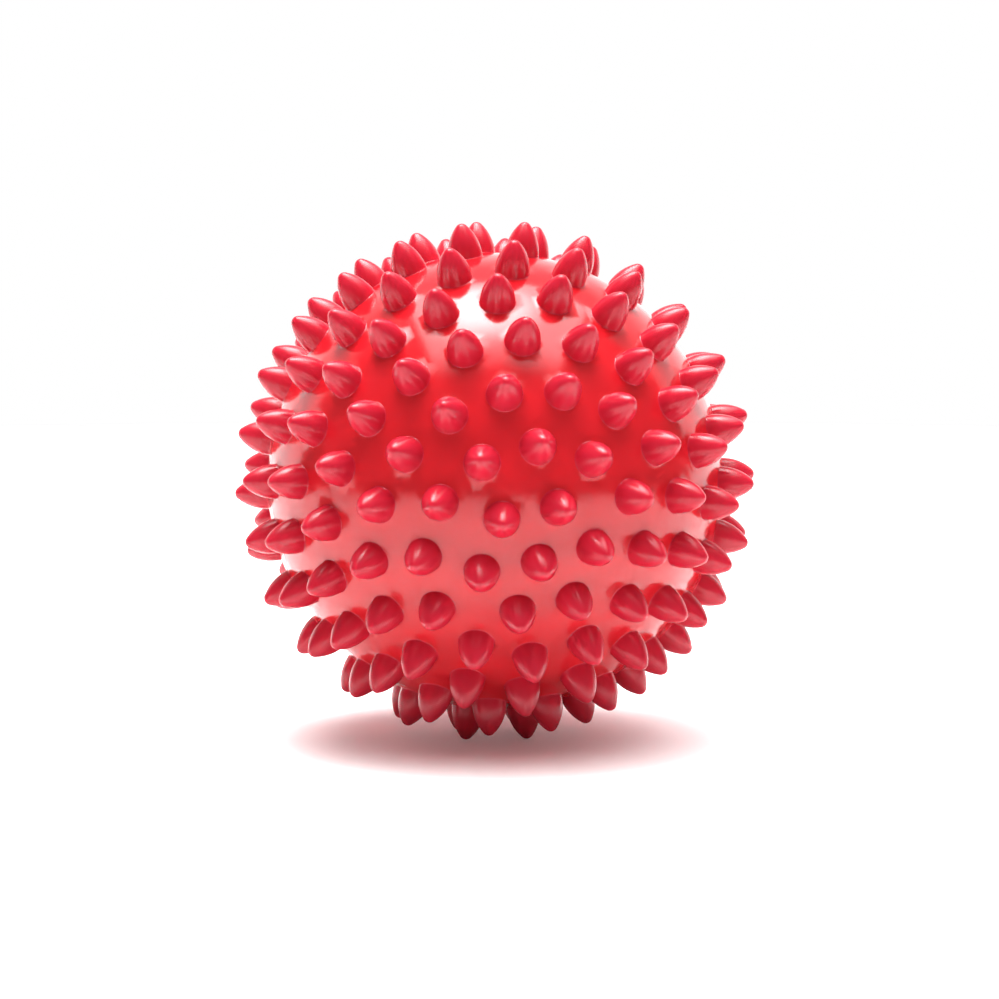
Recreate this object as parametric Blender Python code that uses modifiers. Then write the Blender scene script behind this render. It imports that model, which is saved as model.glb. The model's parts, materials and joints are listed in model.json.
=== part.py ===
"""Spiky massage ball: a hollow moulded skin covered in pointed nubs, a valve seat and a pull-out plug.

The skin is laid out round its moulding axis: a nub on the front pole (+Z of the moulding frame), rings of
nubs round it out to the mould's parting plane, and the same half again, turned over, behind it. The valve
takes the place of the back pole's nub. The whole ball is then turned to stand on three nub tips.

Lengths are in metres and +Z is up. The origin is the ball's centre.
"""

import math

import bmesh
import bpy
from mathutils import Matrix, Vector

MM = 0.001

# Skin
TIP_RADIUS = 45.0 * MM  # centre to nub tips: 90 mm across the tips
CORE_RADIUS = 39.3 * MM  # centre to the surface between the nubs
WALL = 2.8 * MM
CAVITY_SUBDIVISIONS = 3

# Nubs: a pointed arch turned round its axis, with a small round end
NUB_BASE_RADIUS = 3.0 * MM
NUB_END_RADIUS = 0.55 * MM
NUB_SIDES = 6
NUB_SIDE_LEVELS = 2

# Layout of one half: the pole nub, then rings at equal steps. A ring holds as many nubs as its length has
# room for, and starts at its own angle from the moulding frame's +X.
RING_STEP = math.radians(13.6)
NUBS_ON_EQUATOR = 25.6
RING_STARTS = [math.radians(angle) for angle in (0.0, 12.0, 0.9, 16.7, 6.4, 6.3, 3.6)]
BACK_HALF_TWIST = math.radians(174.4)

# Standing pose: the (ring, nub) pairs whose tips touch the surface, and where the front pole points
STANDING_NUBS = ((6, 18), (6, 19), (5, 18))
FRONT_POLE_HEADING = math.radians(-79.3)

# Valve, turned round the back pole. Heights are from the flat land round it, outwards.
FIT_GAP = 0.3 * MM  # clearance between the skin, the seat and the plug
LAND_RADIUS = 5.6 * MM
LAND_SIDES = 16
FLANGE_RADIUS = 4.7 * MM
FLANGE_THICKNESS = 2.4 * MM
HEAD_RECESS_RADIUS = 3.6 * MM
HEAD_RECESS_DEPTH = 1.4 * MM
SEAT_RADIUS = 3.2 * MM
SEAT_LENGTH = 9.0 * MM
BORE_MOUTH_RADIUS = 1.8 * MM
BORE_END_RADIUS = 1.5 * MM
NECK_RADIUS = 6.6 * MM
NECK_LENGTH = 7.0 * MM
PLUG_HEAD_THICKNESS = 1.4 * MM
PLUG_EDGE = 0.3 * MM
PLUG_LENGTH = 9.6 * MM
PLUG_POINT = 0.6 * MM
TURNED_STEPS = 24
MERGE_DISTANCE = 0.001 * MM


def clear_scene():
    for item in list(bpy.data.objects):
        bpy.data.objects.remove(item, do_unlink=True)


def new_collection(name):
    collection = bpy.data.collections.new(name)
    bpy.context.scene.collection.children.link(collection)
    return collection


def new_material(name, color, roughness):
    material = bpy.data.materials.new(name)
    material.use_nodes = True
    shader = material.node_tree.nodes["Principled BSDF"]
    shader.inputs["Base Color"].default_value = (*color, 1.0)
    shader.inputs["Roughness"].default_value = roughness
    shader.inputs["Metallic"].default_value = 0.0
    return material


def new_object(name, mesh, collection, parent):
    item = bpy.data.objects.new(name, mesh)
    collection.objects.link(item)
    item.parent = parent
    return item


def new_empty(name, collection, matrix, parent=None):
    empty = bpy.data.objects.new(name, None)
    collection.objects.link(empty)
    empty.parent = parent
    empty.matrix_local = matrix
    return empty


# Layout


def direction(from_pole, azimuth):
    """Unit vector in the moulding frame."""
    level = math.sin(from_pole)
    return Vector((level * math.cos(azimuth), level * math.sin(azimuth), math.cos(from_pole)))


def nubs_on(ring):
    return max(1, round(NUBS_ON_EQUATOR * math.sin(ring * RING_STEP)))


def nub_direction(ring, index):
    turn = math.tau * index / nubs_on(ring)
    return direction(ring * RING_STEP, RING_STARTS[ring] + turn)


def front_half():
    rings = range(len(RING_STARTS))
    return [nub_direction(ring, index) for ring in rings for index in range(nubs_on(ring))]


def back_half():
    """The front half turned over about a line in the parting plane, without its pole nub."""
    over = Matrix.Rotation(math.pi, 3, direction(math.pi / 2, BACK_HALF_TWIST / 2))
    return [over @ nub for nub in front_half()[1:]]


def standing_rotation():
    """Turn from the moulding frame to the standing one, which has three nub tips on a level surface."""
    first, second, third = (nub_direction(*nub) for nub in STANDING_NUBS)
    up = (second - first).cross(third - first).normalized()
    if up.dot(first) > 0:
        up.negate()
    pole = direction(0.0, 0.0)
    ahead = (pole - up * pole.dot(up)).normalized()
    levelled = Matrix((ahead, up.cross(ahead), up))
    return Matrix.Rotation(FRONT_POLE_HEADING, 3, "Z") @ levelled


# Skin


def nub_levels():
    """(radius, height) of each ring of points up a nub, from its base to its end.

    The side is an arc that leaves the base at a right angle and runs into the round end.
    """
    height = TIP_RADIUS - math.sqrt(CORE_RADIUS**2 - NUB_BASE_RADIUS**2)
    end_height = height - NUB_END_RADIUS
    side = (NUB_BASE_RADIUS**2 + end_height**2 - NUB_END_RADIUS**2) / (
        2 * (NUB_BASE_RADIUS - NUB_END_RADIUS)
    )
    inset = side - NUB_BASE_RADIUS
    last_angle = math.atan2(end_height, inset)
    angles = [last_angle * level / NUB_SIDE_LEVELS for level in range(NUB_SIDE_LEVELS + 1)]
    return [(side * math.cos(angle) - inset, side * math.sin(angle)) for angle in angles]


def add_circle_on_core(bm, along, radius, sides, mark, value):
    """Adds a circle of points on the core's sphere, each marked with the number of its circle."""
    height = math.sqrt(CORE_RADIUS**2 - radius**2)
    place = Matrix.Translation(along * height) @ along.to_track_quat("Z", "Y").to_matrix().to_4x4()
    circle = bmesh.ops.create_circle(bm, segments=sides, radius=radius, matrix=place)
    for vert in circle["verts"]:
        vert[mark] = value


def merge_circle_faces(bm, mark):
    """Makes the faces inside each circle one flat face, and returns those faces by circle number."""
    inside = {}
    for face in bm.faces:
        values = {vert[mark] for vert in face.verts}
        if len(values) == 1:
            inside.setdefault(values.pop(), []).append(face)
    return {
        value: bmesh.ops.dissolve_faces(bm, faces=faces)["region"][0]
        for value, faces in inside.items()
    }


def raise_nub(bm, face, along):
    """Draws one flat base face out into a nub."""
    levels = nub_levels()
    base_radius, _ = levels[0]
    foot = along * math.sqrt(CORE_RADIUS**2 - NUB_BASE_RADIUS**2)
    spokes = [(vert.co - foot) / base_radius for vert in face.verts]
    for radius, height in levels[1:]:
        face = bmesh.ops.extrude_discrete_faces(bm, faces=[face])["faces"][0]
        for vert, spoke in zip(face.verts, spokes):
            vert.co = foot + spoke * radius + along * height
    point = bmesh.ops.poke(bm, faces=[face])["verts"][0]
    point.co = along * TIP_RADIUS


def skin_mesh():
    """Outer surface: the core is drawn tight over the nubs' base circles, and each base is then raised."""
    nubs = front_half() + back_half()
    bm = bmesh.new()
    mark = bm.verts.layers.int.new("circle")
    for number, along in enumerate(nubs):
        add_circle_on_core(bm, along, NUB_BASE_RADIUS, NUB_SIDES, mark, number)
    add_circle_on_core(bm, direction(math.pi, 0.0), LAND_RADIUS, LAND_SIDES, mark, len(nubs))
    bmesh.ops.convex_hull(bm, input=bm.verts[:])
    bases = merge_circle_faces(bm, mark)
    for number, along in enumerate(nubs):
        raise_nub(bm, bases[number], along)
    bmesh.ops.recalc_face_normals(bm, faces=bm.faces[:])
    mesh = bpy.data.meshes.new("ball_skin")
    bm.to_mesh(mesh)
    bm.free()
    return mesh


def cavity_mesh():
    bm = bmesh.new()
    bmesh.ops.create_icosphere(bm, subdivisions=CAVITY_SUBDIVISIONS, radius=CORE_RADIUS - WALL)
    mesh = bpy.data.meshes.new("cavity")
    bm.to_mesh(mesh)
    bm.free()
    return mesh


# Turned pieces


def turned_object(name, profile, collection, parent):
    """Turns (radius, height) points about +Z. They run down the outer side, top to bottom."""
    mesh = bpy.data.meshes.new(name)
    points = [(radius, 0.0, height) for radius, height in profile]
    edges = [(first, first + 1) for first in range(len(points) - 1)]
    mesh.from_pydata(points, edges, [])
    item = new_object(name, mesh, collection, parent)
    screw = item.modifiers.new("Turn", "SCREW")
    screw.axis = "Z"
    screw.angle = math.tau
    screw.steps = TURNED_STEPS
    screw.render_steps = TURNED_STEPS
    screw.use_merge_vertices = True
    screw.merge_threshold = MERGE_DISTANCE
    screw.use_smooth_shade = True
    return item


def seat_profile():
    """A closed ring section: rim, outer side, inner end, up the tapered bore and out of the recess."""
    return [
        (HEAD_RECESS_RADIUS, 0.0),
        (FLANGE_RADIUS, 0.0),
        (FLANGE_RADIUS, -FLANGE_THICKNESS),
        (SEAT_RADIUS, -FLANGE_THICKNESS),
        (SEAT_RADIUS, -SEAT_LENGTH),
        (BORE_END_RADIUS, -SEAT_LENGTH),
        (BORE_MOUTH_RADIUS, -HEAD_RECESS_DEPTH),
        (HEAD_RECESS_RADIUS, -HEAD_RECESS_DEPTH),
        (HEAD_RECESS_RADIUS, 0.0),
    ]


def stem_radius(height):
    """The plug's stem follows the seat's tapered bore, inside it by the clearance."""
    taper = (BORE_MOUTH_RADIUS - BORE_END_RADIUS) / (SEAT_LENGTH - HEAD_RECESS_DEPTH)
    return BORE_MOUTH_RADIUS - FIT_GAP + taper * (height + HEAD_RECESS_DEPTH)


def plug_profile():
    """The head stands a little proud of the rim round it, and the stem's end is chamfered."""
    head_radius = HEAD_RECESS_RADIUS - FIT_GAP
    head_bottom = FIT_GAP - HEAD_RECESS_DEPTH
    head_top = head_bottom + PLUG_HEAD_THICKNESS
    point_start = PLUG_POINT - PLUG_LENGTH
    return [
        (0.0, head_top),
        (head_radius - PLUG_EDGE, head_top),
        (head_radius, head_top - PLUG_EDGE),
        (head_radius, head_bottom),
        (stem_radius(head_bottom), head_bottom),
        (stem_radius(point_start), point_start),
        (stem_radius(point_start) - PLUG_POINT, -PLUG_LENGTH),
        (0.0, -PLUG_LENGTH),
    ]


def bore_profile():
    """The stepped hole that the seat is set in, cut right through the skin and its neck."""
    above = FLANGE_THICKNESS
    below = -NECK_LENGTH - WALL
    recess_bottom = -FLANGE_THICKNESS - FIT_GAP
    return [
        (0.0, above),
        (FLANGE_RADIUS + FIT_GAP, above),
        (FLANGE_RADIUS + FIT_GAP, recess_bottom),
        (SEAT_RADIUS + FIT_GAP, recess_bottom),
        (SEAT_RADIUS + FIT_GAP, below),
        (0.0, below),
    ]


def neck_profile():
    """The solid boss that stays inside the wall, for the hole to go through."""
    return [
        (0.0, 0.0),
        (NECK_RADIUS, 0.0),
        (NECK_RADIUS, -NECK_LENGTH),
        (0.0, -NECK_LENGTH),
    ]


# Assembly


def cut(item, cutter, name):
    boolean = item.modifiers.new(name, "BOOLEAN")
    boolean.operation = "DIFFERENCE"
    boolean.solver = "EXACT"
    boolean.object = cutter


def as_cutter(item):
    item.hide_render = True
    item.display_type = "WIRE"
    return item


def add_skin(parts, cutters, ball, valve):
    skin = new_object("ball_skin", skin_mesh(), parts, ball)
    cavity = as_cutter(new_object("cavity", cavity_mesh(), cutters, ball))
    neck = as_cutter(turned_object("neck", neck_profile(), cutters, valve))
    bore = as_cutter(turned_object("bore", bore_profile(), cutters, valve))
    cut(cavity, neck, "Leave the neck")
    cut(skin, cavity, "Hollow")
    cut(skin, bore, "Valve hole")
    skin.data.materials.append(new_material("ball_skin", (0.62, 0.012, 0.028), 0.22))


def add_valve(parts, valve):
    seat = turned_object("valve_seat", seat_profile(), parts, valve)
    seat.data.materials.append(new_material("valve_seat", (0.50, 0.012, 0.025), 0.35))
    plug = turned_object("valve_plug", plug_profile(), parts, valve)
    plug.data.materials.append(new_material("valve_plug", (0.85, 0.84, 0.81), 0.40))


def main():
    clear_scene()
    parts = new_collection("massage_ball")
    cutters = new_collection("cutters")
    ball = new_empty("moulding_axis", parts, standing_rotation().to_4x4())
    land_height = math.sqrt(CORE_RADIUS**2 - LAND_RADIUS**2)
    back_pole = Matrix.Rotation(math.pi, 4, "X") @ Matrix.Translation((0.0, 0.0, land_height))
    valve = new_empty("valve_axis", parts, back_pole, ball)
    add_skin(parts, cutters, ball, valve)
    add_valve(parts, valve)


main()
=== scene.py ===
"""Looks of the spiky massage ball: a fine glossy vinyl skin, its valve, a white floor and soft studio light.

The nubs' places and the valve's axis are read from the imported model. Lengths are in metres, +Z is up, and
the ball's centre is the origin.
"""

import json
import math

import bmesh
import bpy
import numpy as np
from mathutils import Matrix, Vector


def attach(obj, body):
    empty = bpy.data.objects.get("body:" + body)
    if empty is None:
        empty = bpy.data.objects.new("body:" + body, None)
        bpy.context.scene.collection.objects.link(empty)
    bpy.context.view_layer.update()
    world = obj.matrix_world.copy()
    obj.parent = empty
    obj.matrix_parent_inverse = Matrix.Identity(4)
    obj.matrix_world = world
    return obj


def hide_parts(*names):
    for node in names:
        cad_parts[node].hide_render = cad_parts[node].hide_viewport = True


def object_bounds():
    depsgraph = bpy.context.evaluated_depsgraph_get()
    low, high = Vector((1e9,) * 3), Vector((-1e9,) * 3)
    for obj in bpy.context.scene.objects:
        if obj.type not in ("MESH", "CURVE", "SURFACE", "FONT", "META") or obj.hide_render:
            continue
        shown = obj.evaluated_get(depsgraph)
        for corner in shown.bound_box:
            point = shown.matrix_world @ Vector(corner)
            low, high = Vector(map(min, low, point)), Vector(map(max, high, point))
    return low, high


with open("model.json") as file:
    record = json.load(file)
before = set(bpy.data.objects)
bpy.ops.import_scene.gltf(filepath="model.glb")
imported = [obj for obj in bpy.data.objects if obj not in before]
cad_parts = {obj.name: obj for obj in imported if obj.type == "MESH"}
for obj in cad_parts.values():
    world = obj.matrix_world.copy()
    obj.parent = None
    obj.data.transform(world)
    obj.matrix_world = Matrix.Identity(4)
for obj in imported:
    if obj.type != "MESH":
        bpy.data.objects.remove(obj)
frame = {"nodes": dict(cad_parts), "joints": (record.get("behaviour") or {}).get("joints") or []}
CAD_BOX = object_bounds()

MM = 0.001

# Skin
TIP_RADIUS = 45.0 * MM  # centre to the nub tips
CORE_RADIUS = 39.3 * MM  # centre to the surface between the nubs
CORE_SUBDIVISIONS = 6
NUB_BASE_RADIUS = 2.95 * MM
NUB_FILLET = 0.14 * MM
NUB_END_RADIUS = 1.2 * MM
NUB_SIDES = 24
FILLET_STEPS = 3
SIDE_STEPS = 8
END_STEPS = 4
CIRCLE_CLEARANCE = 0.4 * MM  # from a nub's foot, or the valve's land, to the next point between them
CORE_MATERIAL = 0
NUB_MATERIAL = 1

# Valve. Heights are from the flat land round it, outwards along the valve's axis.
LAND_RADIUS = 5.6 * MM
POCKET_RADIUS = 5.0 * MM
POCKET_DEPTH = 2.7 * MM
PASSAGE_RADIUS = 3.5 * MM
NECK_RADIUS = 6.6 * MM
NECK_LENGTH = 7.0 * MM
CAVITY_RADIUS = 36.5 * MM
FLANGE_RADIUS = 4.7 * MM
FLANGE_THICKNESS = 2.4 * MM
HEAD_RECESS_RADIUS = 3.6 * MM
HEAD_RECESS_DEPTH = 1.4 * MM
SEAT_RADIUS = 3.2 * MM
SEAT_LENGTH = 9.0 * MM
BORE_MOUTH_RADIUS = 1.8 * MM
BORE_END_RADIUS = 1.5 * MM
HEAD_RADIUS = 3.3 * MM
HEAD_TOP = 0.3 * MM
HEAD_BOTTOM = -1.1 * MM
STEM_RADIUS = 1.5 * MM
STEM_END_RADIUS = 1.2 * MM
STEM_END = -9.6 * MM
DISH_RADIUS = 2.2 * MM
DISH_DEPTH = 0.18 * MM
ROUNDED_EDGE = 0.25 * MM
LAND_HEIGHT = math.sqrt(CORE_RADIUS**2 - LAND_RADIUS**2)
TURNED_SIDES = 48

# Vinyl. Scales are in waves per metre.
CLOUD_SCALE = 60.0
GLOSS_SCALE = 220.0
WAVE_SCALE = 110.0
WAVE_HEIGHT = 0.05 * MM
GRAIN_SCALE = 1800.0
GRAIN_HEIGHT = 0.002 * MM
RING_PITCH = 0.3 * MM
RING_HEIGHT = 0.004 * MM
RINGS_END = TIP_RADIUS - 1.6 * MM  # where the rings start to fade out
VINYL_IOR = 1.53
GLOW_THROUGH = 0.12
GLOW_DEPTH = 1.5 * MM
GLOW_COLOUR = (1.0, 0.12, 0.10)

# Camera: 11 tip radii away, a little above the ball's centre
CAMERA_DISTANCE = 11 * TIP_RADIUS
CAMERA_ELEVATION = math.radians(4.8)
CAMERA_LENS = 103.0
CAMERA_SHIFT = (0.0045, -0.0193)

# Studio. A softbox hangs over the ball, brighter near its middle and fading towards the camera.
FLOOR_RADIUS = 0.85
# Painted light: a faint pinkish glow seen by the camera only, which lifts the ball's shadow on the floor and
# tints it red
FLOOR_GLOW = (0.13, 0.08, 0.08)  # to the camera only
SOFTBOX_HEIGHT = 0.9
SOFTBOX_LOW = (-0.46, -0.60)
SOFTBOX_HIGH = (0.50, 0.52)
SOFTBOX_HOT_SPOT = (-0.08, 0.12)
SOFTBOX_HOT_REACH = (0.10, 0.40)  # from the hot spot: where its strength starts and stops falling
SOFTBOX_STRENGTH = (18.5, 4.5)  # at the hot spot and towards the edges
SOFTBOX_FADE = (-0.60, -0.15)  # along Y: from dark to full strength
FILL_PLACE = (0.12, 0.0, 0.8)
FILL_SIZE = 1.3
FILL_POWER = 10.8
BACKDROP_HALF_WIDTH = math.radians(66)
BACKDROP_TOP = math.radians(43)
BACKDROP_STRENGTH = 2.1
BACKDROP_TOP_STRENGTH = 0.5
ABOVE_BACKDROP_STRENGTH = 0.5
ROOM_STRENGTH = 0.15
BACKDROP_SIDE_SHARPNESS = 25.0
BACKDROP_TOP_SHARPNESS = 15.0
WHITE = (1.0, 1.0, 1.0, 1.0)
BLACK = (0.0, 0.0, 0.0, 1.0)


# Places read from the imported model


def nub_directions():
    """Unit vectors to the nub tips: the skin's points that lie on the tip sphere."""
    tips = {}
    for vert in frame["nodes"]["ball_skin"].data.vertices:
        if vert.co.length > TIP_RADIUS - 0.02 * MM:
            along = vert.co.normalized()
            tips[tuple(round(c, 3) for c in along)] = along
    return [tips[key] for key in sorted(tips)]


def outward_frame(along, height):
    """A frame at a height from the ball's centre, with +Z outwards."""
    return Matrix.Translation(along * height) @ along.to_track_quat("Z", "Y").to_matrix().to_4x4()


def valve_matrix():
    """The valve's frame: +Z outwards along its axis, from the land round it."""
    return outward_frame(Vector(frame["joints"][0]["axis"]).normalized(), LAND_HEIGHT)


# Skin


def arc(centre, radius, first, last, steps):
    """Points (radius, height) along an arc, from one angle to another."""
    angles = np.linspace(first, last, steps + 1)
    return [(centre[0] + radius * math.cos(a), centre[1] + radius * math.sin(a)) for a in angles]


def core_height(radius):
    return math.sqrt(CORE_RADIUS**2 - radius**2)


def nub_profile():
    """(radius, height from the ball's centre) up a nub: fillet, bulging side and round end.

    The side is an arc that starts upright and meets the round end smoothly.
    """
    fillet_centre = (NUB_BASE_RADIUS + NUB_FILLET, core_height(NUB_BASE_RADIUS) + NUB_FILLET)
    fillet = arc(fillet_centre, NUB_FILLET, -math.pi / 2, -math.pi, FILLET_STEPS)
    foot, bottom = fillet[-1]
    end_height = TIP_RADIUS - NUB_END_RADIUS
    rise = end_height - bottom
    side_radius = (foot**2 + rise**2 - NUB_END_RADIUS**2) / 2 / (foot - NUB_END_RADIUS)
    inset = side_radius - foot
    last = math.atan2(rise, inset)
    side = arc((-inset, bottom), side_radius, 0.0, last, SIDE_STEPS)
    end = arc((0.0, end_height), NUB_END_RADIUS, last, math.pi / 2, END_STEPS)
    return fillet + side[1:] + end[1:-1]


def add_circle(bm, along, radius, sides, mark, value):
    place = outward_frame(along, core_height(radius))
    circle = bmesh.ops.create_circle(bm, segments=sides, radius=radius, matrix=place)
    for vert in circle["verts"]:
        vert[mark] = value


def add_core_points(bm, keep_clear):
    """Icosphere points between the nubs and outside the valve's land."""
    ball = bmesh.ops.create_icosphere(bm, subdivisions=CORE_SUBDIVISIONS, radius=CORE_RADIUS)["verts"]
    points = np.array([vert.co for vert in ball]) / CORE_RADIUS
    near = np.zeros(len(points), bool)
    for along, radius in keep_clear:
        near |= points @ np.array(along) > math.cos(radius / CORE_RADIUS)
    bmesh.ops.delete(bm, geom=[vert for vert, inside in zip(ball, near) if inside], context="VERTS")
    bmesh.ops.delete(bm, geom=bm.edges[:], context="EDGES_FACES")


def circle_faces(bm, mark):
    """The faces inside each circle, by circle number. Points between the circles carry 0."""
    inside = {}
    for face in bm.faces:
        values = {vert[mark] for vert in face.verts}
        if len(values) == 1 and values != {0}:
            inside.setdefault(values.pop(), []).append(face)
    return inside


def raise_nubs(bm, bases, nubs, mark):
    """Extrudes the bases up the nub profile, all together. Each point knows its nub by its circle number."""
    for radius, height in nub_profile()[1:]:
        bases = bmesh.ops.extrude_discrete_faces(bm, faces=bases)["faces"]
        for vert in [vert for face in bases for vert in face.verts]:
            along = nubs[vert[mark] - 1]
            spoke = (vert.co - along * vert.co.dot(along)).normalized()
            vert.co = spoke * radius + along * height
    for tip in bmesh.ops.poke(bm, faces=bases)["verts"]:
        tip.co = tip.co.normalized() * TIP_RADIUS


def inside_profile():
    """(radius, height) from the land's edge down through the valve's hole and round the hollow."""
    land = -LAND_HEIGHT
    first = math.asin(NECK_RADIUS / CAVITY_RADIUS)
    hollow = [
        (CAVITY_RADIUS * math.sin(a), land + CAVITY_RADIUS * math.cos(a))
        for a in np.linspace(first, math.pi, 24)
    ]
    return [
        (POCKET_RADIUS, 0.0),
        (POCKET_RADIUS, -POCKET_DEPTH),
        (PASSAGE_RADIUS, -POCKET_DEPTH),
        (PASSAGE_RADIUS, -NECK_LENGTH),
        (NECK_RADIUS, -NECK_LENGTH),
        *hollow[:-1],
        (0.0, hollow[-1][1]),
    ]


def open_valve(bm, face, place):
    """Sinks the valve's hole and the hollow behind it into the land."""
    spokes = [(place.inverted() @ vert.co).normalized() for vert in face.verts]
    *rings, last = inside_profile()
    for radius, height in rings:
        face = bmesh.ops.extrude_discrete_faces(bm, faces=[face])["faces"][0]
        for vert, spoke in zip(face.verts, spokes):
            vert.co = place @ Vector((spoke.x * radius, spoke.y * radius, height))
    end = bmesh.ops.poke(bm, faces=[face])["verts"][0]
    end.co = place @ Vector((0.0, 0.0, last[1]))


def skin_mesh():
    nubs = nub_directions()
    valve = valve_matrix()
    pole = Vector(valve.col[2][:3])
    foot_radius = nub_profile()[0][0]
    bm = bmesh.new()
    mark = bm.verts.layers.int.new("circle")
    clear = [(along, foot_radius + CIRCLE_CLEARANCE) for along in nubs]
    add_core_points(bm, [*clear, (pole, LAND_RADIUS + CIRCLE_CLEARANCE)])
    for number, along in enumerate(nubs, start=1):
        add_circle(bm, along, foot_radius, NUB_SIDES, mark, number)
    land_mark = len(nubs) + 1
    add_circle(bm, pole, LAND_RADIUS, TURNED_SIDES, mark, land_mark)
    bmesh.ops.convex_hull(bm, input=bm.verts[:])
    bmesh.ops.delete(bm, geom=[vert for vert in bm.verts if not vert.link_faces], context="VERTS")
    inside = [faces for number, faces in sorted(circle_faces(bm, mark).items())]
    bases = bmesh.ops.dissolve_faces(bm, faces=[face for faces in inside for face in faces])["region"]
    land = next(face for face in bases if face.verts[0][mark] == land_mark)
    bases.remove(land)
    raise_nubs(bm, bases, nubs, mark)
    for number, faces in circle_faces(bm, mark).items():
        for face in faces:
            face.material_index = CORE_MATERIAL if number == land_mark else NUB_MATERIAL
    open_valve(bm, land, valve)
    bmesh.ops.recalc_face_normals(bm, faces=bm.faces[:])
    mesh = bpy.data.meshes.new("ball_surface")
    bm.to_mesh(mesh)
    bm.free()
    mesh.shade_smooth()
    mesh.set_sharp_from_angle(angle=math.radians(50))
    return mesh


# Valve pieces


def turned_mesh(name, profile, closed):
    """Turns (radius, height) points about +Z. They run down the outer side, top to bottom."""
    bm = bmesh.new()
    verts = [bm.verts.new((radius, 0.0, height)) for radius, height in profile]
    pairs = list(zip(verts, verts[1:]))
    if closed:
        pairs.append((verts[-1], verts[0]))
    edges = [bm.edges.new(pair) for pair in pairs]
    bmesh.ops.spin(
        bm, geom=verts + edges, axis=(0, 0, 1), cent=(0, 0, 0), angle=math.tau, steps=TURNED_SIDES
    )
    bmesh.ops.remove_doubles(bm, verts=bm.verts[:], dist=0.001 * MM)
    bmesh.ops.recalc_face_normals(bm, faces=bm.faces[:])
    mesh = bpy.data.meshes.new(name)
    bm.to_mesh(mesh)
    bm.free()
    mesh.shade_smooth()
    mesh.set_sharp_from_angle(angle=math.radians(35))
    return mesh


def seat_mesh():
    edge = ROUNDED_EDGE
    outer = arc((FLANGE_RADIUS - edge, -edge), edge, math.pi / 2, 0.0, 4)
    inner = arc((HEAD_RECESS_RADIUS + edge, -edge), edge, math.pi, math.pi / 2, 4)
    profile = [
        *outer,
        (FLANGE_RADIUS, -FLANGE_THICKNESS),
        (SEAT_RADIUS, -FLANGE_THICKNESS),
        (SEAT_RADIUS, -SEAT_LENGTH),
        (BORE_END_RADIUS, -SEAT_LENGTH),
        (BORE_MOUTH_RADIUS, -HEAD_RECESS_DEPTH - edge),
        (BORE_MOUTH_RADIUS + edge, -HEAD_RECESS_DEPTH),
        (HEAD_RECESS_RADIUS, -HEAD_RECESS_DEPTH),
        *inner,
    ]
    return turned_mesh("valve_seat_surface", profile, closed=True)


def plug_mesh():
    edge = ROUNDED_EDGE
    profile = [
        (0.0, HEAD_TOP - DISH_DEPTH),
        (DISH_RADIUS - DISH_DEPTH, HEAD_TOP - DISH_DEPTH),
        (DISH_RADIUS, HEAD_TOP),
        *arc((HEAD_RADIUS - edge, HEAD_TOP - edge), edge, math.pi / 2, 0.0, 5),
        (HEAD_RADIUS, HEAD_BOTTOM),
        (STEM_RADIUS, HEAD_BOTTOM),
        (STEM_END_RADIUS, STEM_END + 2 * edge),
        *arc((STEM_END_RADIUS - 2 * edge, STEM_END + 2 * edge), 2 * edge, 0.0, -math.pi / 2, 5),
        (0.0, STEM_END),
    ]
    return turned_mesh("valve_plug_surface", profile, closed=False)


# Materials


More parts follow.
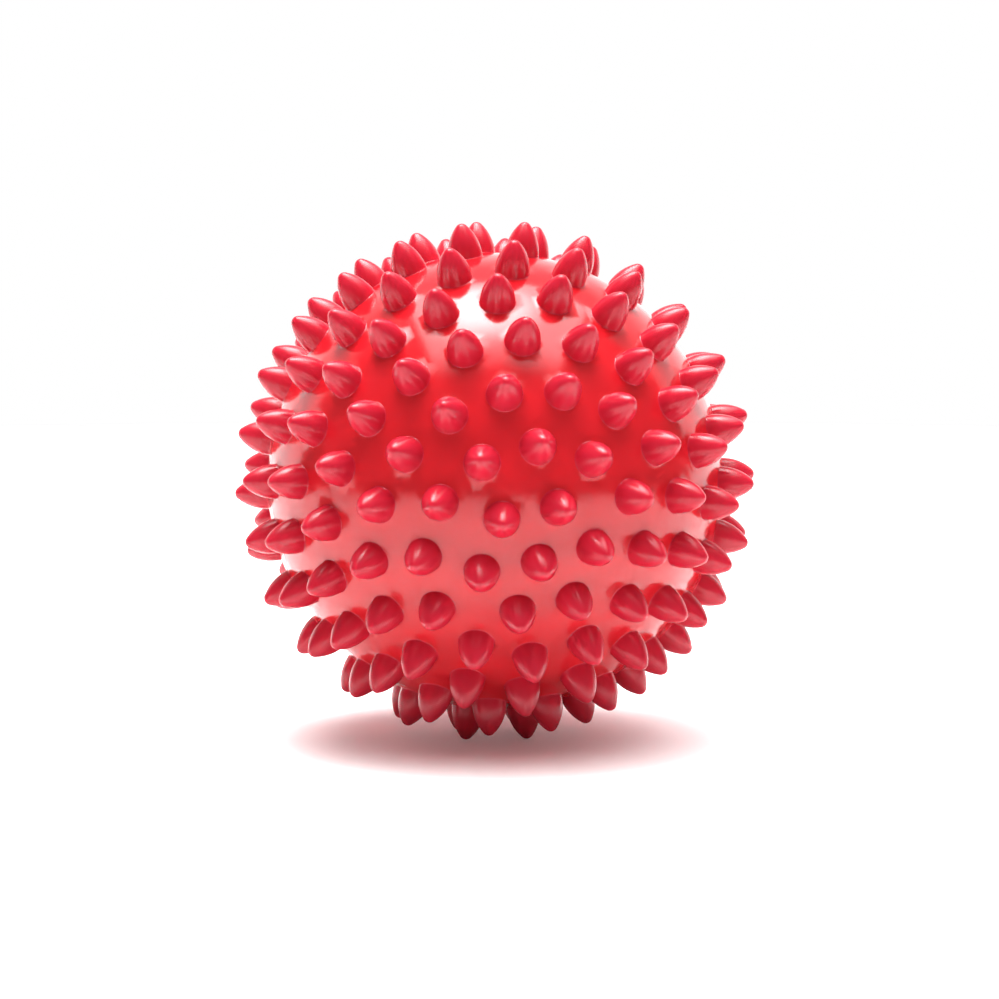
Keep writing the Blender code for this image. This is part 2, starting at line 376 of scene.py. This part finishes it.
class Nodes:
    """The nodes of a material or a world, with short calls to add and join them."""

    def __init__(self, owner):
        owner.use_nodes = True
        self.owner = owner
        self.tree = owner.node_tree
        self.shader = self.tree.nodes.get("Principled BSDF")

    def add(self, kind, **settings):
        node = self.tree.nodes.new(kind)
        for name, value in settings.items():
            if name in node.inputs:
                node.inputs[name].default_value = value
            else:
                setattr(node, name, value)
        return node

    def join(self, source, target):
        self.tree.links.new(source, target)

    def place(self):
        return self.add("ShaderNodeTexCoord").outputs["Object"]

    def noise(self, scale, detail):
        noise = self.add("ShaderNodeTexNoise", Scale=scale, Detail=detail)
        self.join(self.place(), noise.inputs["Vector"])
        return noise.outputs["Fac"]

    def ranged(self, value, low, high):
        spread = self.add("ShaderNodeMapRange")
        spread.inputs["To Min"].default_value = low
        spread.inputs["To Max"].default_value = high
        self.join(value, spread.inputs["Value"])
        return spread.outputs["Result"]

    def mix(self, factor, first, second):
        """A mix of two colours, each given as (red, green, blue)."""
        mix = self.add("ShaderNodeMix", data_type="RGBA")
        self.join(factor, mix.inputs["Factor"])
        colours = [socket for socket in mix.inputs if socket.type == "RGBA"]
        for socket, colour in zip(colours, (first, second)):
            socket.default_value = (*colour, 1.0)
        return next(socket for socket in mix.outputs if socket.type == "RGBA")

    def distance(self):
        """Distance from the object's origin, which is the ball's centre."""
        distance = self.add("ShaderNodeVectorMath", operation="LENGTH")
        self.join(self.place(), distance.inputs[0])
        return distance.outputs["Value"]

    def smooth(self, value, ends, results):
        """Goes smoothly from the first result to the second as the value goes from one end to the other."""
        blend = self.add("ShaderNodeMapRange", interpolation_type="SMOOTHSTEP")
        blend.inputs["From Min"].default_value, blend.inputs["From Max"].default_value = ends
        blend.inputs["To Min"].default_value, blend.inputs["To Max"].default_value = results
        self.join(value, blend.inputs["Value"])
        return blend.outputs["Result"]

    def rings(self, pitch):
        """A wave up the nubs, as a turned mould leaves it."""
        return self.math("SINE", self.math("MULTIPLY", self.distance(), math.tau / pitch))

    def math(self, kind, *values, clamp=False):
        node = self.add("ShaderNodeMath", operation=kind, use_clamp=clamp)
        for socket, value in zip(node.inputs, values):
            if isinstance(value, (int, float)):
                socket.default_value = value
            else:
                self.join(value, socket)
        return node.outputs["Value"]

    def step(self, value, edge, sharpness):
        """0 below the edge and 1 above it. A negative sharpness swaps the two."""
        return self.math("MULTIPLY_ADD", value, sharpness, 0.5 - sharpness * edge, clamp=True)

    def bump(self, height, distance, below=None):
        bump = self.add("ShaderNodeBump", Strength=1.0, Distance=distance)
        self.join(height, bump.inputs["Height"])
        if below is not None:
            self.join(below, bump.inputs["Normal"])
        return bump.outputs["Normal"]


def vinyl(name, dark, light, smooth, rough, shine, ring_height=0.0):
    """Glossy soft PVC: a slightly uneven moulded gloss over a deep, faintly clouded colour.

    Nubs carry the fine rings of their turned mould, which fade out at the tips.
    """
    nodes = Nodes(bpy.data.materials.new(name))
    shader = nodes.shader
    nodes.join(nodes.mix(nodes.noise(CLOUD_SCALE, detail=3.0), dark, light), shader.inputs["Base Color"])
    nodes.join(nodes.ranged(nodes.noise(GLOSS_SCALE, detail=4.0), smooth, rough), shader.inputs["Roughness"])
    surface = nodes.bump(nodes.noise(WAVE_SCALE, detail=1.0), WAVE_HEIGHT)
    if ring_height:
        fade = nodes.smooth(nodes.distance(), (RINGS_END, TIP_RADIUS), (1.0, 0.0))
        turned = nodes.math("MULTIPLY", nodes.rings(RING_PITCH), fade)
        surface = nodes.bump(turned, ring_height, below=surface)
    surface = nodes.bump(nodes.noise(GRAIN_SCALE, detail=2.0), GRAIN_HEIGHT, below=surface)
    nodes.join(surface, shader.inputs["Normal"])
    shader.inputs["IOR"].default_value = VINYL_IOR
    shader.inputs["Specular IOR Level"].default_value = shine
    shader.inputs["Subsurface Weight"].default_value = GLOW_THROUGH
    shader.inputs["Subsurface Radius"].default_value = GLOW_COLOUR
    shader.inputs["Subsurface Scale"].default_value = GLOW_DEPTH
    return nodes.owner


def satin_plastic(name, dark, light):
    nodes = Nodes(bpy.data.materials.new(name))
    shader = nodes.shader
    nodes.join(nodes.mix(nodes.noise(300.0, detail=3.0), dark, light), shader.inputs["Base Color"])
    nodes.join(nodes.ranged(nodes.noise(900.0, detail=3.0), 0.32, 0.48), shader.inputs["Roughness"])
    nodes.join(nodes.bump(nodes.noise(2500.0, detail=3.0), 0.006 * MM), shader.inputs["Normal"])
    shader.inputs["IOR"].default_value = 1.5
    return nodes.owner


# Object


def add_piece(name, mesh, materials, body, node, place=None):
    piece = bpy.data.objects.new(name, mesh)
    bpy.context.scene.collection.objects.link(piece)
    if place is not None:
        mesh.transform(place)
    for material in materials:
        mesh.materials.append(material)
    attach(piece, body)
    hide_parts(node)


def add_ball():
    valve = valve_matrix()
    skin = [
        vinyl("glossy_red_vinyl", (0.52, 0.009, 0.014), (0.60, 0.012, 0.020), 0.10, 0.16, 0.5),
        vinyl("red_vinyl_nubs", (0.49, 0.012, 0.030), (0.54, 0.015, 0.036), 0.18, 0.26, 0.34, RING_HEIGHT),
    ]
    seat = [vinyl("red_valve_vinyl", (0.40, 0.008, 0.014), (0.48, 0.011, 0.020), 0.24, 0.34, 0.5)]
    plug = [satin_plastic("off_white_plug", (0.42, 0.41, 0.38), (0.48, 0.47, 0.44))]
    add_piece("spiky_skin", skin_mesh(), skin, "ball", "ball_skin")
    add_piece("flanged_valve_seat", seat_mesh(), seat, "ball", "valve_seat", valve)
    add_piece("pull_out_plug", plug_mesh(), plug, "plug", "valve_plug", valve)


# Studio


def add_camera():
    data = bpy.data.cameras.new("camera")
    camera = bpy.data.objects.new("camera", data)
    bpy.context.scene.collection.objects.link(camera)
    back = Vector((0.0, -math.cos(CAMERA_ELEVATION), math.sin(CAMERA_ELEVATION)))
    camera.location = back * CAMERA_DISTANCE
    camera.rotation_euler = (-back).to_track_quat("-Z", "Y").to_euler()
    data.lens = CAMERA_LENS
    data.sensor_width = 36.0
    data.shift_x, data.shift_y = CAMERA_SHIFT
    data.clip_start = 0.01
    data.clip_end = 50.0
    bpy.context.scene.camera = camera


def white_paper_painted_glow():
    paper = Nodes(bpy.data.materials.new("white_paper_painted_glow"))
    paper.shader.inputs["Base Color"].default_value = (0.88, 0.88, 0.88, 1.0)
    paper.shader.inputs["Roughness"].default_value = 0.8
    paper.shader.inputs["Specular IOR Level"].default_value = 0.1
    # Painted light: the floor glows for camera rays only, lifting and reddening the ball's shadow
    paper.shader.inputs["Emission Color"].default_value = (*FLOOR_GLOW, 1.0)
    seen = paper.add("ShaderNodeLightPath").outputs["Is Camera Ray"]
    paper.join(seen, paper.shader.inputs["Emission Strength"])
    paper.join(paper.bump(paper.noise(400.0, detail=3.0), 0.01 * MM), paper.shader.inputs["Normal"])
    return paper.owner


def add_floor():
    bm = bmesh.new()
    bmesh.ops.create_circle(bm, cap_ends=True, segments=96, radius=FLOOR_RADIUS)
    mesh = bpy.data.meshes.new("floor")
    bm.to_mesh(mesh)
    bm.free()
    floor = bpy.data.objects.new("floor", mesh)
    floor.location.z = CAD_BOX[0].z
    bpy.context.scene.collection.objects.link(floor)
    mesh.materials.append(white_paper_painted_glow())


def softbox_cloth():
    """Bright at the hot spot, less so round it, and fading to dark towards the camera."""
    cloth = Nodes(bpy.data.materials.new("softbox_cloth"))
    place = cloth.place()
    distance = cloth.add("ShaderNodeVectorMath", operation="DISTANCE")
    cloth.join(place, distance.inputs[0])
    distance.inputs[1].default_value = (*SOFTBOX_HOT_SPOT, SOFTBOX_HEIGHT)
    parts = cloth.add("ShaderNodeSeparateXYZ")
    cloth.join(place, parts.inputs["Vector"])
    heat = cloth.smooth(distance.outputs["Value"], SOFTBOX_HOT_REACH, SOFTBOX_STRENGTH)
    fade = cloth.smooth(parts.outputs["Y"], SOFTBOX_FADE, (0.0, 1.0))
    shader = cloth.shader
    shader.inputs["Base Color"].default_value = BLACK
    shader.inputs["Specular IOR Level"].default_value = 0.0
    shader.inputs["Emission Color"].default_value = WHITE
    cloth.join(cloth.math("MULTIPLY", heat, fade), shader.inputs["Emission Strength"])
    return cloth.owner


def add_softbox():
    low = Vector((*SOFTBOX_LOW, SOFTBOX_HEIGHT))
    high = Vector((*SOFTBOX_HIGH, SOFTBOX_HEIGHT))
    bm = bmesh.new()
    bmesh.ops.create_grid(bm, x_segments=1, y_segments=1, size=0.5)
    bmesh.ops.scale(bm, vec=(high.x - low.x, high.y - low.y, 1.0), verts=bm.verts[:])
    bmesh.ops.translate(bm, vec=(low + high) / 2, verts=bm.verts[:])
    bmesh.ops.reverse_faces(bm, faces=bm.faces[:])
    mesh = bpy.data.meshes.new("softbox")
    bm.to_mesh(mesh)
    bm.free()
    softbox = bpy.data.objects.new("softbox", mesh)
    bpy.context.scene.collection.objects.link(softbox)
    mesh.materials.append(softbox_cloth())


def add_fill():
    """Light without a reflection, from the same side as the softbox."""
    data = bpy.data.lights.new("fill", "AREA")
    data.size = FILL_SIZE
    data.energy = FILL_POWER
    fill = bpy.data.objects.new("fill", data)
    fill.location = FILL_PLACE
    fill.visible_glossy = False
    bpy.context.scene.collection.objects.link(fill)


def backdrop_strength(world):
    """A sheet behind the ball, dimmer upwards, with a faint wall above it and a dim room all round."""
    parts = world.add("ShaderNodeSeparateXYZ")
    world.join(world.add("ShaderNodeTexCoord").outputs["Generated"], parts.inputs["Vector"])
    side = world.math("MULTIPLY", parts.outputs["X"], parts.outputs["X"])
    ahead = world.math("MULTIPLY", parts.outputs["Y"], parts.outputs["Y"])
    level = world.math("SQRT", world.math("ADD", side, ahead))
    back = world.math("DIVIDE", parts.outputs["Y"], level)
    height = parts.outputs["Z"]
    behind = world.step(back, math.cos(BACKDROP_HALF_WIDTH), BACKDROP_SIDE_SHARPNESS)
    under_top = world.step(height, math.sin(BACKDROP_TOP), -BACKDROP_TOP_SHARPNESS)
    climb = (BACKDROP_TOP_STRENGTH - BACKDROP_STRENGTH) / math.sin(BACKDROP_TOP)
    sheet = world.math("MULTIPLY", world.math("MULTIPLY_ADD", height, climb, BACKDROP_STRENGTH), under_top)
    backdrop = world.math("MULTIPLY", behind, world.math("MAXIMUM", sheet, ABOVE_BACKDROP_STRENGTH))
    return world.math("MAXIMUM", backdrop, ROOM_STRENGTH)


def add_world():
    """White to the camera. Elsewhere a bright backdrop behind the ball, and a dim room round and above it."""
    world = Nodes(bpy.data.worlds.new("studio"))
    world.tree.nodes.clear()
    background = world.add("ShaderNodeBackground", Color=WHITE)
    world.join(backdrop_strength(world), background.inputs["Strength"])
    seen = world.add("ShaderNodeBackground", Color=WHITE)
    mix = world.add("ShaderNodeMixShader")
    world.join(world.add("ShaderNodeLightPath").outputs["Is Camera Ray"], mix.inputs["Fac"])
    world.join(background.outputs["Background"], mix.inputs[1])
    world.join(seen.outputs["Background"], mix.inputs[2])
    world.join(mix.outputs["Shader"], world.add("ShaderNodeOutputWorld").inputs["Surface"])
    bpy.context.scene.world = world.owner


add_camera()
add_ball()
add_floor()
add_softbox()
add_fill()
add_world()
bpy.context.scene.view_settings.view_transform = "Standard"
